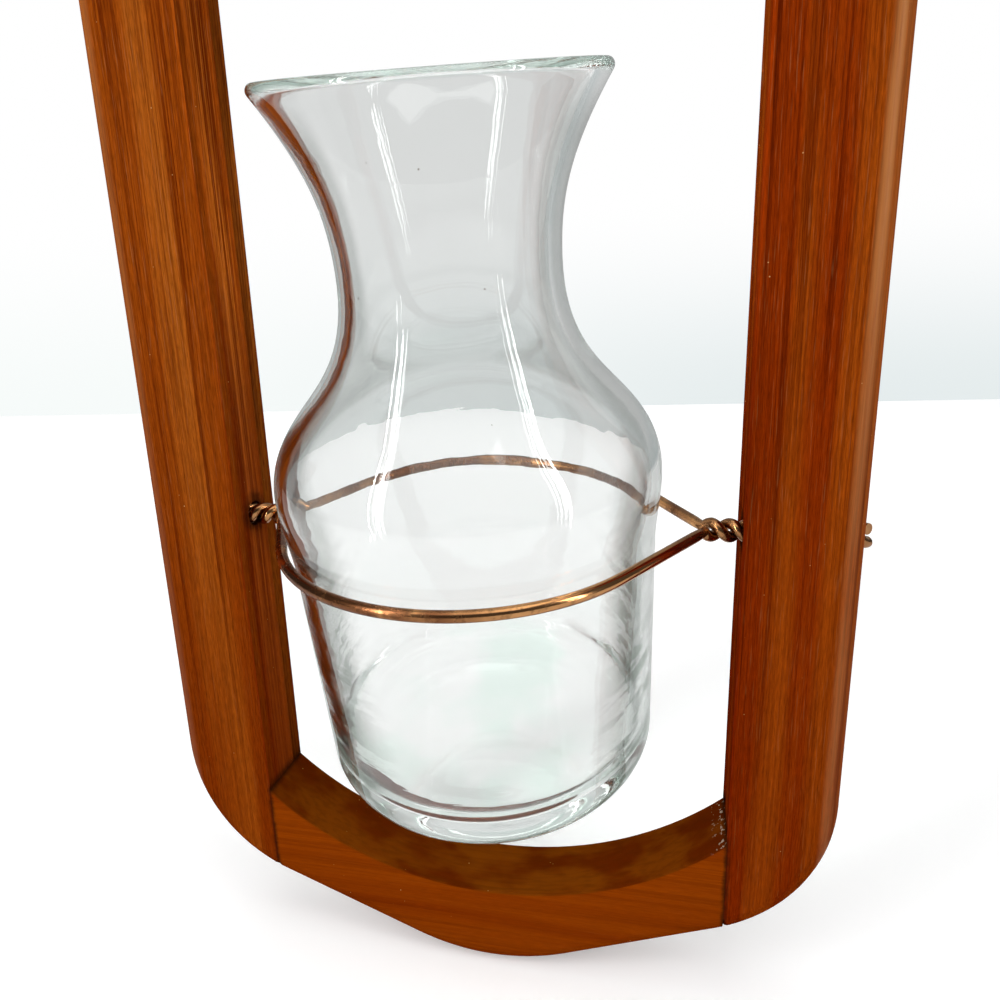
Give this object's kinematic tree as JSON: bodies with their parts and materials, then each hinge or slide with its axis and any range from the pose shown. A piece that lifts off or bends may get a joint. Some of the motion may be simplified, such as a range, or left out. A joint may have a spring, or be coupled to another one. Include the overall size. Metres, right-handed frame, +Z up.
{
  "type": "hanging vase",
  "caption": "Upright wooden frame hung from a screw eye, with a clear glass carafe vase held in a ring of twisted copper wire that tilts between the uprights.",
  "frame": {"origin": "inside of the screw eye's crown, where a hook bears", "axes": "+Z up, -Y towards the front the vase leans to, +X to the right seen from the front"},
  "size_m": [0.1374, 0.0851, 0.2757],
  "materials": {
    "left_upright": "oiled, satin",
    "right_upright": "oiled, satin",
    "rails": "oiled, satin",
    "dowels": "bare",
    "screw_eye": "bright",
    "copper_wire": "aged copper, polished where it is handled",
    "clear_glass": "clear, faintly green where it is thick"
  },
  "bodies": {
    "frame": {"left_upright": "left_upright", "right_upright": "right_upright", "bottom_rail": "rails", "top_rail": "rails", "bottom_left_dowel": "dowels", "bottom_right_dowel": "dowels", "top_left_dowel": "dowels", "top_right_dowel": "dowels", "screw_eye": "screw_eye"},
    "cradle": {"front_wire": "copper_wire", "back_wire": "copper_wire"},
    "vase": {"glass_vase": "clear_glass"}
  },
  "joints": [
    {"name": "cradle_tilt", "type": "hinge", "parent": "frame", "child": "cradle", "pos_m": [0, 0, -0.1769], "axis": [1, 0, 0], "range_deg": [-102.5, 77.5]},
    {"name": "vase_lift", "type": "slide", "parent": "cradle", "child": "vase", "axis": [0.007, -0.2164, 0.9763], "range_m": [0, 0.055]}
  ]
}
